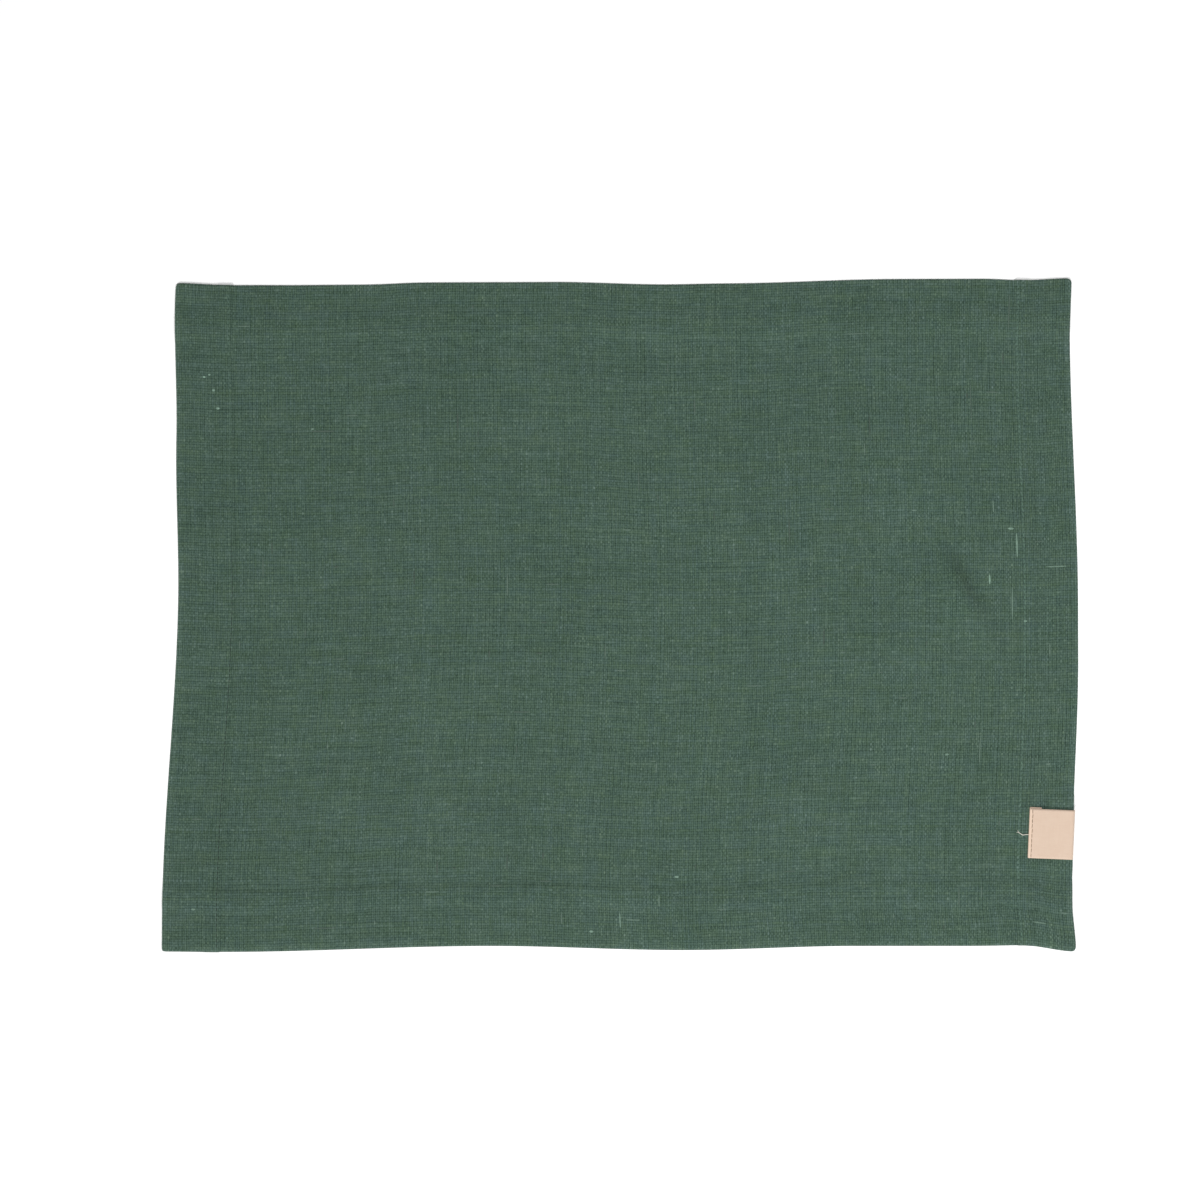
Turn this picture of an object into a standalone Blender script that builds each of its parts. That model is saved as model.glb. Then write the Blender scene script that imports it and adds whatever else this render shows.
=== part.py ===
"""A fabric placemat: one sheet of linen, hemmed on all four sides, and a tape label that is
folded round its right-hand edge.

The mat lies on a table at Z = 0. X runs to the right, Y away from the person who sits at it, and
the origin is under the middle of the mat. Sizes are in metres.
"""

from collections import namedtuple
from math import cos, pi, radians, sin

import bmesh
import bpy
from mathutils import Matrix, Vector

MM = 0.001

# The four corners of the cloth as it lies, before its sides bow. They are not quite square.
Corner = namedtuple("Corner", "x y rounding")
NEAR_LEFT = Corner(x=-253.7 * MM, y=-186.1 * MM, rounding=0.5)
NEAR_RIGHT = Corner(x=252.4 * MM, y=-186.1 * MM, rounding=0.9)
FAR_LEFT = Corner(x=-245.9 * MM, y=183.7 * MM, rounding=0.7)
FAR_RIGHT = Corner(x=249.9 * MM, y=186.4 * MM, rounding=1.0)
CORNER_SQUARE = 2.5 * MM

# How far each side bows outward from the straight line between its corners. A row is a crest or
# a hollow: its place along the side, from the left or from the near end, and its depth. The edge
# eases from one row to the next.
Bow = namedtuple("Bow", "along outward")
NEAR_SIDE = [
    Bow(0.00, 0.0 * MM),
    Bow(0.07, 0.3 * MM),
    Bow(0.36, -3.0 * MM),
    Bow(0.57, -0.7 * MM),
    Bow(0.76, -3.0 * MM),
    Bow(0.88, -3.0 * MM),
    Bow(1.00, -3.8 * MM),
]
FAR_SIDE = [
    Bow(0.00, 0.0 * MM),
    Bow(0.14, -1.5 * MM),
    Bow(0.21, -1.4 * MM),
    Bow(0.28, -0.4 * MM),
    Bow(0.42, -0.5 * MM),
    Bow(0.55, -2.2 * MM),
    Bow(0.62, -1.8 * MM),
    Bow(0.80, 0.1 * MM),
    Bow(0.90, 0.0 * MM),
    Bow(0.95, -0.6 * MM),
    Bow(1.00, 0.0 * MM),
]
LEFT_SIDE = [
    Bow(0.00, 0.0 * MM),
    Bow(0.08, 0.3 * MM),
    Bow(0.52, -5.0 * MM),
    Bow(0.77, -2.1 * MM),
    Bow(0.97, 0.2 * MM),
    Bow(1.00, 0.0 * MM),
]
RIGHT_SIDE = [
    Bow(0.00, 0.0 * MM),
    Bow(0.075, -1.9 * MM),
    Bow(0.12, -1.8 * MM),
    Bow(0.46, 2.4 * MM),
    Bow(0.52, 2.5 * MM),
    Bow(0.92, -1.1 * MM),
    Bow(1.00, 0.0 * MM),
]

# The near right-hand corner is pulled towards the diner, from the hem's inner edge outward.
CORNER_PULL = 3.8 * MM
CORNER_PULL_WIDTH = 30.0 * MM
CORNER_PULL_REACH = 110.0 * MM

# Hems, measured from the fold at the edge to the turned-in edge of the cloth.
LEFT_HEM = 30.5 * MM
RIGHT_HEM = 29.0 * MM
NEAR_HEM = 32.5 * MM
FAR_HEM = 25.5 * MM
HEM_SLOPE = 3.0 * MM

FIELD_THICK = 1.1 * MM
HEM_THICK = 2.0 * MM
CROSSING_THICK = 2.6 * MM
FOLD_ROUND = 1.0 * MM
FIELD_STEP = 19.0 * MM

# The tape label. Its middle is measured along the right-hand side from the near corner.
TAPE_THICK = 1.0 * MM
TAPE_WIDTH = 27.8 * MM
LABEL_LENGTH = 25.4 * MM
LABEL_FROM_NEAR = 63.0 * MM
LABEL_TURN = radians(-2.5)
TURNED_END = 6.6 * MM
TURNED_END_RISE = 0.5 * MM
CLEARANCE = 0.3 * MM
FOLD_STEPS = 8

# The hem is squeezed to this thickness in the label's fold, and lifted onto its lower leg.
HEM_AT_LABEL = 1.6 * MM
INNER_RADIUS = HEM_AT_LABEL / 2 + CLEARANCE
LIFT_MARGIN = 2.1 * MM
LIFT_SLOPE = 9.0 * MM

MAT_SIZE = Vector((502.0 * MM, 371.0 * MM))


def ease(share):
    """0 below 0, 1 above 1, and a smooth S between them."""
    share = min(max(share, 0.0), 1.0)
    return share * share * (3.0 - 2.0 * share)


def bow(side, along):
    """How far a side bows outward at a place along it."""
    for start, end in zip(side, side[1:]):
        if along <= end.along:
            share = (along - start.along) / (end.along - start.along)
            return start.outward + (end.outward - start.outward) * ease(share)
    return side[-1].outward


def between(start, end, share):
    return start + (end - start) * share


def cloth_to_table(across, away):
    """The place on the table of a point of the cloth. across and away run from 0 to 1."""
    near_x = between(NEAR_LEFT.x, NEAR_RIGHT.x, across)
    far_x = between(FAR_LEFT.x, FAR_RIGHT.x, across)
    left_y = between(NEAR_LEFT.y, FAR_LEFT.y, away)
    right_y = between(NEAR_RIGHT.y, FAR_RIGHT.y, away)
    x = between(near_x, far_x, away)
    x += between(-bow(LEFT_SIDE, away), bow(RIGHT_SIDE, away), across)
    y = between(left_y, right_y, across)
    y += between(-bow(NEAR_SIDE, across), bow(FAR_SIDE, across), away)
    from_right = (1.0 - across) * MAT_SIZE.x
    from_near = away * MAT_SIZE.y
    pull = ease(1.0 - from_right / CORNER_PULL_WIDTH) * ease(1.0 - from_near / CORNER_PULL_REACH)
    return Vector((x, y - CORNER_PULL * pull))


def rounded(from_side, from_end, rounding):
    """Moves a point near a corner, given by its distances from the two edges, onto a round corner."""
    side = CORNER_SQUARE - from_side
    end = CORNER_SQUARE - from_end
    if side <= 0.0 or end <= 0.0:
        return from_side, from_end
    on_arc = max(side, end) / (side * side + end * end) ** 0.5
    scale = between(1.0, on_arc, rounding)
    return CORNER_SQUARE - side * scale, CORNER_SQUARE - end * scale


def round_corner(across, away):
    """The shares across and away of a point, after the corner that it is near is rounded."""
    is_right = across > 0.5
    is_far = away > 0.5
    corners = {
        (False, False): NEAR_LEFT,
        (True, False): NEAR_RIGHT,
        (False, True): FAR_LEFT,
        (True, True): FAR_RIGHT,
    }
    from_side = (1.0 - across if is_right else across) * MAT_SIZE.x
    from_end = (1.0 - away if is_far else away) * MAT_SIZE.y
    from_side, from_end = rounded(from_side, from_end, corners[is_right, is_far].rounding)
    across = from_side / MAT_SIZE.x
    away = from_end / MAT_SIZE.y
    return (1.0 - across if is_right else across), (1.0 - away if is_far else away)


def lines_along(length, low_hem, high_hem, extra=()):
    """The places, from 0 to 1, of the mesh lines across a side: close together at folds and hems."""
    low = edge_lines(low_hem)
    high = [length - place for place in edge_lines(high_hem)]
    steps = round((high[-1] - low[-1]) / FIELD_STEP)
    field = [between(low[-1], high[-1], step / steps) for step in range(1, steps)]
    field = [place for place in field if all(abs(place - other) > FIELD_STEP / 3 for other in extra)]
    return [place / length for place in sorted(low + high + field + list(extra))]


def edge_lines(hem):
    """Distances from an edge: round the fold, across the hem and down its inner step."""
    fold = [0.0, 0.25 * FOLD_ROUND, FOLD_ROUND, CORNER_SQUARE]
    step = [hem - HEM_SLOPE / 2, hem, hem + HEM_SLOPE / 2]
    return fold + [hem / 2] + step


def hem_share(distance, hem):
    """1 on a hem, 0 on the single cloth inside it."""
    return 1.0 - ease((distance - hem) / HEM_SLOPE + 0.5)


def label_share(across, away):
    """1 where the mat lies in the label's fold, 0 away from it."""
    past_end = (1.0 - across) * MAT_SIZE.x - LABEL_LENGTH
    past_side = abs(away * MAT_SIZE.y - LABEL_FROM_NEAR) - TAPE_WIDTH / 2
    inward = ease(1.0 - (past_end - LIFT_MARGIN) / LIFT_SLOPE)
    sideways = ease(1.0 - (past_side - LIFT_MARGIN) / LIFT_SLOPE)
    return inward * sideways


def heights(across, away):
    """The underside and the top of the cloth above the table."""
    from_left = across * MAT_SIZE.x
    from_right = (1.0 - across) * MAT_SIZE.x
    from_near = away * MAT_SIZE.y
    from_far = (1.0 - away) * MAT_SIZE.y
    side_hem = max(hem_share(from_left, LEFT_HEM), hem_share(from_right, RIGHT_HEM))
    end_hem = max(hem_share(from_near, NEAR_HEM), hem_share(from_far, FAR_HEM))
    thick = between(FIELD_THICK, HEM_THICK, max(side_hem, end_hem))
    thick += (CROSSING_THICK - HEM_THICK) * side_hem * end_hem
    lifted = label_share(across, away)
    thick = between(thick, min(thick, HEM_AT_LABEL), lifted)
    underside = (TAPE_THICK + CLEARANCE) * lifted
    from_edge = min(from_left, from_right, from_near, from_far)
    inset = 1.0 - min(from_edge / FOLD_ROUND, 1.0)
    half = thick / 2 * (1.0 - inset * inset) ** 0.5
    middle = underside + thick / 2
    return middle - half, middle + half


def new_material(name, colour, roughness):
    material = bpy.data.materials.new(name)
    material.use_nodes = True
    shader = material.node_tree.nodes["Principled BSDF"]
    shader.inputs["Base Color"].default_value = (*colour, 1.0)
    shader.inputs["Roughness"].default_value = roughness
    shader.inputs["Metallic"].default_value = 0.0
    return material


def add_object(name, shape, material):
    """Turns a bmesh into a named object with its faces pointing out."""
    bmesh.ops.recalc_face_normals(shape, faces=shape.faces)
    mesh = bpy.data.meshes.new(name)
    shape.to_mesh(mesh)
    shape.free()
    mesh.shade_smooth()
    mesh.set_sharp_from_angle(angle=radians(40.0))
    mesh.materials.append(material)
    made = bpy.data.objects.new(name, mesh)
    bpy.context.scene.collection.objects.link(made)
    return made


def mat_centre(columns, rows):
    """The middle of the mat's outline, which becomes the origin."""
    outline = [cloth_to_table(across, away) for across in columns for away in (0.0, 1.0)]
    outline += [cloth_to_table(across, away) for across in (0.0, 1.0) for away in rows]
    xs = [point.x for point in outline]
    ys = [point.y for point in outline]
    return Vector(((min(xs) + max(xs)) / 2, (min(ys) + max(ys)) / 2))


def build_mat(columns, rows, centre):
    """Two layers of mesh, the top and the underside, that meet round the folded edge."""
    shape = bmesh.new()
    top = {}
    underside = {}
    for column, across in enumerate(columns):
        for row, away in enumerate(rows):
            place = cloth_to_table(*round_corner(across, away)) - centre
            low, high = heights(across, away)
            top[column, row] = shape.verts.new((place.x, place.y, high))
            on_edge = column in (0, len(columns) - 1) or row in (0, len(rows) - 1)
            underside[column, row] = top[column, row] if on_edge else shape.verts.new((place.x, place.y, low))
    for layer in (top, underside):
        for column in range(len(columns) - 1):
            for row in range(len(rows) - 1):
                ring = [(column, row), (column + 1, row), (column + 1, row + 1), (column, row + 1)]
                shape.faces.new([layer[corner] for corner in ring])
    return add_object("mat", shape, new_material("green linen", (0.060, 0.113, 0.083), 0.9))


def tape_section():
    """The tape's outline seen along the mat's edge: X outward, 0 at the start of the fold, Z up."""
    outer_radius = INNER_RADIUS + TAPE_THICK
    end = outer_radius - LABEL_LENGTH
    top = 2 * outer_radius
    turns = [pi * (step / FOLD_STEPS - 0.5) for step in range(FOLD_STEPS + 1)]
    outer = [(outer_radius * cos(turn), outer_radius * (1.0 + sin(turn))) for turn in turns]
    inner = [(INNER_RADIUS * cos(turn), outer_radius + INNER_RADIUS * sin(turn)) for turn in turns]
    turned_end = [
        (end + TURNED_END + TURNED_END_RISE, top),
        (end + TURNED_END - TURNED_END_RISE, top + TURNED_END_RISE),
        (end + TURNED_END_RISE, top + TURNED_END_RISE),
        (end, top),
    ]
    upper_leg = turned_end + [(end, top - TAPE_THICK)]
    lower_leg = [(end, TAPE_THICK), (end, 0.0)]
    return outer + upper_leg + inner[::-1] + lower_leg


def build_label(centre):
    """The tape's outline, extruded along the mat's edge and turned to lie along it."""
    outward = Vector((cos(LABEL_TURN), sin(LABEL_TURN)))
    along = Vector((-outward.y, outward.x))
    beside = [LABEL_FROM_NEAR + TAPE_WIDTH / 2 * part for part in (-1.0, -0.5, 0.0, 0.5, 1.0)]
    edge = [cloth_to_table(1.0, place / MAT_SIZE.y) for place in beside]
    fold_start = max(point.dot(outward) for point in edge) + CLEARANCE - INNER_RADIUS
    origin = outward * fold_start + along * edge[2].dot(along) - centre
    shape = bmesh.new()
    face = shape.faces.new([shape.verts.new((x, -TAPE_WIDTH / 2, z)) for x, z in tape_section()])
    extruded = bmesh.ops.extrude_face_region(shape, geom=[face])
    far_end = [item for item in extruded["geom"] if isinstance(item, bmesh.types.BMVert)]
    bmesh.ops.translate(shape, verts=far_end, vec=(0.0, TAPE_WIDTH, 0.0))
    turn = Matrix.Translation(origin.to_3d()) @ Matrix.Rotation(LABEL_TURN, 4, "Z")
    bmesh.ops.transform(shape, matrix=turn, verts=shape.verts)
    return add_object("label", shape, new_material("pale tape", (0.70, 0.55, 0.40), 0.85))


def main():
    for old in list(bpy.data.objects):
        bpy.data.objects.remove(old)
    lift_start = TAPE_WIDTH / 2 + LIFT_MARGIN
    lift_places = [lift_start, lift_start + LIFT_SLOPE / 2, lift_start + LIFT_SLOPE]
    label_rows = [LABEL_FROM_NEAR + side * place for side in (-1, 1) for place in lift_places]
    label_column = MAT_SIZE.x - LABEL_LENGTH - LIFT_MARGIN - LIFT_SLOPE
    columns = lines_along(MAT_SIZE.x, LEFT_HEM, RIGHT_HEM, [label_column])
    rows = lines_along(MAT_SIZE.y, NEAR_HEM, FAR_HEM, label_rows)
    centre = mat_centre(columns, rows)
    build_mat(columns, rows, centre)
    build_label(centre)


main()
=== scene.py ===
"""The looks of a fabric placemat: slubby green linen with turned and stitched hems, and a blank
tape label folded round its right-hand edge.

The mat lies on the floor at Z = 0. X runs to the right, Y away from the person who sits at it.
Sizes are in metres, but for tables that say millimetres. Places on the cloth are given as
distances from its left and near edges.
"""

from collections import namedtuple
from math import ceil, cos, pi, radians, sin

import bpy
import numpy as np
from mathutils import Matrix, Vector


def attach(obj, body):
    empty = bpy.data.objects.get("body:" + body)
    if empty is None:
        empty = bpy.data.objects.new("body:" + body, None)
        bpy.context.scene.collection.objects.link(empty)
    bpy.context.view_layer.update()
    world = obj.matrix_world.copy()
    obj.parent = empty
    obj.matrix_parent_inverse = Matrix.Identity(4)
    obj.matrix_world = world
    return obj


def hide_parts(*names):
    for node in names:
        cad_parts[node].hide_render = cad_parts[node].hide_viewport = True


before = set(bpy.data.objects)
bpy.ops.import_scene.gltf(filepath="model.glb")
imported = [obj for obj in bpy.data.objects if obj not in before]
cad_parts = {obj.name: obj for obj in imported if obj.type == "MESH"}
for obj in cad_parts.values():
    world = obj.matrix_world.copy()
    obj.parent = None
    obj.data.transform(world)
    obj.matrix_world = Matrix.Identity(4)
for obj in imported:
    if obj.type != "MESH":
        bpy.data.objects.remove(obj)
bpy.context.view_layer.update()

MM = 0.001


def in_metres(kind, *rows, unscaled=""):
    """A table in millimetres, as named tuples in metres. The unscaled columns stay as they are."""
    stay = unscaled.split()
    return [
        kind(*(value if name in stay else value * MM for name, value in zip(kind._fields, row)))
        for row in rows
    ]


# ---- The outline, nearly as in the part's source ----

Corner = namedtuple("Corner", "x y rounding")
NEAR_LEFT, NEAR_RIGHT, FAR_LEFT, FAR_RIGHT = in_metres(
    Corner,
    (-253.7, -186.1, 0.5),
    (252.4, -186.1, 0.9),
    (-245.9, 183.7, 0.7),
    (249.9, 186.4, 1.0),
    unscaled="rounding",
)
CORNER_SQUARE = 2.5 * MM  # the side of the square at a corner in which it is rounded

Bow = namedtuple("Bow", "along outward")


def bows(*rows):
    """How far a side bows outward from the straight line between its corners. Each row has a
    place along it, from 0 to 1, and the millimetres outward there."""
    return in_metres(Bow, *rows, unscaled="along")


NEAR_SIDE = bows(
    (0.00, 0.0), (0.07, 0.3), (0.36, -3.0), (0.57, -0.7), (0.76, -3.0), (0.88, -3.0), (1.00, -3.8)
)
FAR_SIDE = bows(
    (0.00, 0.0), (0.06, -1.3), (0.14, -1.5), (0.21, -1.4), (0.28, -0.4), (0.42, -0.5),
    (0.55, -2.2), (0.62, -1.8), (0.80, 0.1), (0.90, 0.0), (0.95, -0.9), (1.00, 0.0),
)
LEFT_SIDE = bows((0.00, 0.0), (0.08, 0.3), (0.52, -5.0), (0.77, -2.1), (0.97, 0.2), (1.00, 0.0))
RIGHT_SIDE = bows(
    (0.00, 0.0), (0.075, -1.9), (0.10, -1.8), (0.44, 2.4), (0.52, 2.5), (0.92, -1.1), (1.00, 0.0)
)

# The near right-hand corner is pulled towards the sitter.
CORNER_PULL = 3.8 * MM
CORNER_PULL_WIDTH = 30.0 * MM
CORNER_PULL_REACH = 110.0 * MM
MAT_WIDTH = 502.0 * MM
MAT_DEPTH = 371.0 * MM
OUTLINE_STEPS = 400


def ease(share):
    """0 below 0, 1 above 1, and a smooth S between them."""
    share = np.clip(share, 0.0, 1.0)
    return share * share * (3.0 - 2.0 * share)


def between(start, end, share):
    """A share of the way from start to end, for numbers, arrays and a material's signals."""
    return start + (end - start) * share


def mirrored(place, length, is_far):
    """A distance from one edge, measured from the opposite edge if that is the one meant."""
    return length - place if is_far else place


def bow(side, along):
    """How far a side bows outward at places along it."""
    outward = np.full_like(along, side[-1].outward)
    for start, end in reversed(list(zip(side, side[1:]))):
        share = (along - start.along) / (end.along - start.along)
        eased = between(start.outward, end.outward, ease(share))
        outward = np.where(along <= end.along, eased, outward)
    return outward


def rounded_corner(from_left, from_near):
    """Moves the points near a corner onto a round one."""
    for corner, is_right, is_far in (
        (NEAR_LEFT, False, False),
        (NEAR_RIGHT, True, False),
        (FAR_LEFT, False, True),
        (FAR_RIGHT, True, True),
    ):
        side = CORNER_SQUARE - mirrored(from_left, MAT_WIDTH, is_right)
        end = CORNER_SQUARE - mirrored(from_near, MAT_DEPTH, is_far)
        inside = (side > 0.0) & (end > 0.0)
        reach = np.hypot(side, end)
        on_arc = np.maximum(side, end) / np.where(inside, reach, 1.0)
        scale = between(1.0, on_arc, corner.rounding)
        new_left = mirrored(CORNER_SQUARE - side * scale, MAT_WIDTH, is_right)
        new_near = mirrored(CORNER_SQUARE - end * scale, MAT_DEPTH, is_far)
        from_left = np.where(inside, new_left, from_left)
        from_near = np.where(inside, new_near, from_near)
    return from_left, from_near


def bowed_place(from_left, from_near):
    """The place of points of the cloth, before the middle of the outline becomes the origin."""
    across = from_left / MAT_WIDTH
    away = from_near / MAT_DEPTH
    near_x = between(NEAR_LEFT.x, NEAR_RIGHT.x, across)
    far_x = between(FAR_LEFT.x, FAR_RIGHT.x, across)
    left_y = between(NEAR_LEFT.y, FAR_LEFT.y, away)
    right_y = between(NEAR_RIGHT.y, FAR_RIGHT.y, away)
    x = between(near_x, far_x, away) + between(-bow(LEFT_SIDE, away), bow(RIGHT_SIDE, away), across)
    y = between(left_y, right_y, across) + between(-bow(NEAR_SIDE, across), bow(FAR_SIDE, across), away)
    pull = ease(1.0 - (MAT_WIDTH - from_left) / CORNER_PULL_WIDTH)
    pull = pull * ease(1.0 - from_near / CORNER_PULL_REACH)
    return x, y - CORNER_PULL * pull


def outline_middle():
    """The middle of the box round the outline."""
    along = np.linspace(0.0, 1.0, OUTLINE_STEPS)
    ones = np.ones_like(along)
    lefts = np.concatenate([along * MAT_WIDTH, along * MAT_WIDTH, 0.0 * ones, MAT_WIDTH * ones])
    nears = np.concatenate([0.0 * ones, MAT_DEPTH * ones, along * MAT_DEPTH, along * MAT_DEPTH])
    x, y = bowed_place(lefts, nears)
    return (x.min() + x.max()) / 2, (y.min() + y.max()) / 2


MIDDLE_X, MIDDLE_Y = outline_middle()


def table_place(from_left, from_near):
    """Where points of the cloth lie on the table."""
    x, y = bowed_place(*rounded_corner(from_left, from_near))
    return x - MIDDLE_X, y - MIDDLE_Y


# ---- Sizes of the cloth and its hems ----

WARP_PITCH = 1.04 * MM  # between the yarns that run away from the sitter
WEFT_PITCH = 1.43 * MM
CLOTH_THICK = 0.46 * MM
LAYER = 0.52 * MM  # from one layer of a hem to the next
RIM_ROUND = 0.6 * MM  # how far the fold at the edge rounds inward
RIM_FOLD_RADIUS = 0.75 * LAYER  # for the length of cloth in that fold
INNER_ROUND = 0.4 * MM
TURN_IN = 6.0 * MM
CORNER_CUT = TURN_IN + 30.0 * MM  # the side of the square that is cut out of each corner
HEM_LOFT = 0.16 * MM
FIELD_LOFT = 0.38 * MM

# Each hem's width, how far in from there its stitches run, how bright they are at its near or left
# end and at the other, how deep a groove they draw, over what width the top rises onto the edge
# that is turned in, and over what width it comes down from the hem to the table. In millimetres.
# Where the two brightnesses differ, the stitches carry painted shade, darkest on the left row's near
# half.
Hem = namedtuple("Hem", "width stitches_in bright groove rise step")
LEFT_HEM, RIGHT_HEM, NEAR_HEM, FAR_HEM = in_metres(
    Hem,
    (30.7, 0.6, (0.2, 1.1), 0.08, 3.5, 1.2),
    (31.0, 1.2, (1.3, 1.3), 0.06, 3.5, 1.3),
    (31.8, 1.1, (0.9, 1.1), 0.04, 4.0, 3.2),
    (25.5, 1.4, (0.9, 0.9), 0.03, 8.0, 8.5),
    unscaled="bright",
)
STEP_MARGIN = 0.1 * MM  # how far past a hem's width its top starts to come down
NEAR_STEP_SOFTER = 3.0  # how many times wider the near hem's step becomes towards the right
CORNER_STEP_SOFTER = 2.0  # by how many times its width it also widens across the left hem
CORNER_STEP_REACH = 1.6 * LEFT_HEM.width

GROOVE_WIDTH = 0.8 * MM
SHOULDER = 0.35 * MM  # how far the top bends down towards the edge
SHOULDER_WIDTH = 4.5 * MM
PUCKER = 0.10 * MM
PUCKER_WAVE = 11.0 * MM
PUCKER_REACH = 6.0 * MM
WAVES = 9
BILLOW = 0.22 * MM
BILLOW_WAVE = 75.0 * MM
BILLOW_ON_HEMS = 0.35  # the share of the billows that the hems keep
RIPPLE = 0.07 * MM
RIPPLE_WAVE = 24.0 * MM
LOOSE_FROM_EDGE = 8.0 * MM  # nearer to the edge, all this relief fades out
LEAST_RELIEF = 0.02 * MM
RELIEF_SOFTNESS = 0.08 * MM

# Soft creases, each a ridge that is steep on its left as one looks along it: its middle, heading,
# half length, half widths and height, in millimetres and degrees.
Crease = namedtuple("Crease", "x y heading half_length steep gentle height")
CREASES = in_metres(
    Crease,
    (187.6, 15.2, -64, 21.5, 5.6, 11.0, 4.3),
    (205.5, -11.0, -64, 14.0, 3.4, 8.0, 0.8),
    (150.0, 104.0, -18, 40.0, 9.0, 16.0, 0.6),
    (-60.0, -158.0, 8, 20.0, 6.0, 12.0, 0.4),
    (-196.0, 60.0, 80, 50.0, 8.0, 14.0, 0.5),
    unscaled="heading",
)


# ---- Sizes of the label ----

TAPE_THICK = 0.5 * MM
TAPE_WIDTH = 27.3 * MM
LABEL_LENGTH = 25.4 * MM
LABEL_FROM_NEAR = 62.7 * MM
LABEL_TURN = radians(-2.5)
LABEL_CLEARANCE = -0.9 * MM  # the tape lies closer round the edge than the solid can
LABEL_LIFT = 1.1 * MM
LIFT_MARGIN = 2.1 * MM
LIFT_SLOPE = 9.0 * MM
SOLID_FOLD_INSIDE = 1.1 * MM
SOLID_FOLD_OUTSIDE = 2.1 * MM
LOWER_LEG_Z = 0.42 * MM
UPPER_LEG_Z = 3.3 * MM
TUCK_LENGTH = 6.0 * MM
TUCK_Z = 2.95 * MM
TUCK_ASIDE = 0.8 * MM  # how far the turned-under end sticks out beyond the label's far side
END_RADIUS = 0.42 * MM
END_DEPTH = END_RADIUS + TAPE_THICK / 2  # from the turned end to where its upper layer is level
LEFT_END = SOLID_FOLD_OUTSIDE - LABEL_LENGTH
TAPE_STEPS_ACROSS = 24

LABEL_STITCHES_IN = 1.7 * MM
LABEL_STITCH_PITCH = 2.7 * MM
LABEL_STITCH_LENGTH = 2.85 * MM
LABEL_STITCH_WIDTH = 0.40 * MM
LABEL_STITCH_HEIGHT = 0.15 * MM
STITCH_DENT = 0.22 * MM  # how far they draw the tape down
STITCH_DENT_WIDTH = 0.5 * MM


# ---- Heights of the layers ----


def ripples(x, y, wavelength, seed):
    """Smooth random waves of about one wavelength, mostly between -1 and 1."""
    draw = np.random.default_rng(seed)
    total = np.zeros_like(x)
    for _ in range(WAVES):
        heading = draw.uniform(0.0, 2.0 * pi)
        phase = draw.uniform(0.0, 2.0 * pi)
        length = wavelength * draw.uniform(0.7, 1.4)
        total += np.cos(2.0 * pi * (x * cos(heading) + y * sin(heading)) / length + phase)
    return total / WAVES**0.5


def pile(distance, hem, step):
    """How thick a hem's turned layers are at a distance from the edge, for cloth that covers them."""
    second = ease((distance - hem.width + TURN_IN + hem.rise) / hem.rise)
    fall = 1.0 - ease((distance - hem.width - STEP_MARGIN) / step)
    return LAYER * (1.0 + second) * fall


def side_pile(from_left):
    from_right = MAT_WIDTH - from_left
    return pile(from_left, LEFT_HEM, LEFT_HEM.step) + pile(from_right, RIGHT_HEM, RIGHT_HEM.step)


def end_pile(from_left, from_near):
    in_corner = 1.0 - ease(from_left / CORNER_STEP_REACH)
    wider = between(1.0, NEAR_STEP_SOFTER, from_left / MAT_WIDTH) + CORNER_STEP_SOFTER * in_corner
    near_pile = pile(from_near, NEAR_HEM, NEAR_HEM.step * wider)
    return near_pile + pile(MAT_DEPTH - from_near, FAR_HEM, FAR_HEM.step)


def label_lift(from_left, from_near):
    """How far the label's lower leg lifts the cloth that lies on it."""
    past_end = MAT_WIDTH - from_left - LABEL_LENGTH
    past_side = np.abs(from_near - LABEL_FROM_NEAR) - TAPE_WIDTH / 2
    inward = ease(1.0 - (past_end - LIFT_MARGIN) / LIFT_SLOPE)
    sideways = ease(1.0 - (past_side - LIFT_MARGIN) / LIFT_SLOPE)
    return LABEL_LIFT * inward * sideways


def stitch_relief(from_left, from_near, x, y):
    """The groove that each row of stitches draws in, and the puckers beside it."""
    relief = np.zeros_like(x)
    puckers = PUCKER * ripples(x, y, PUCKER_WAVE, seed=5)
    for hem, from_edge in (
        (LEFT_HEM, from_left),
        (RIGHT_HEM, MAT_WIDTH - from_left),
        (NEAR_HEM, from_near),
        (FAR_HEM, MAT_DEPTH - from_near),
    ):
        distance = from_edge - (hem.width - hem.stitches_in)
        relief -= hem.groove * np.exp(-((distance / GROOVE_WIDTH) ** 2))
        relief += puckers * np.exp(-((distance / PUCKER_REACH) ** 2))
    return relief


def crease_relief(x, y):
    relief = np.zeros_like(x)
    for crease in CREASES:
        heading = radians(crease.heading)
        along = (x - crease.x) * cos(heading) + (y - crease.y) * sin(heading)
        beside = -(x - crease.x) * sin(heading) + (y - crease.y) * cos(heading)
        half_width = np.where(beside > 0.0, crease.steep, crease.gentle)
        shape = np.exp(-((along / crease.half_length) ** 2) - (beside / half_width) ** 2)
        relief += crease.height * shape
    return relief


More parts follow.
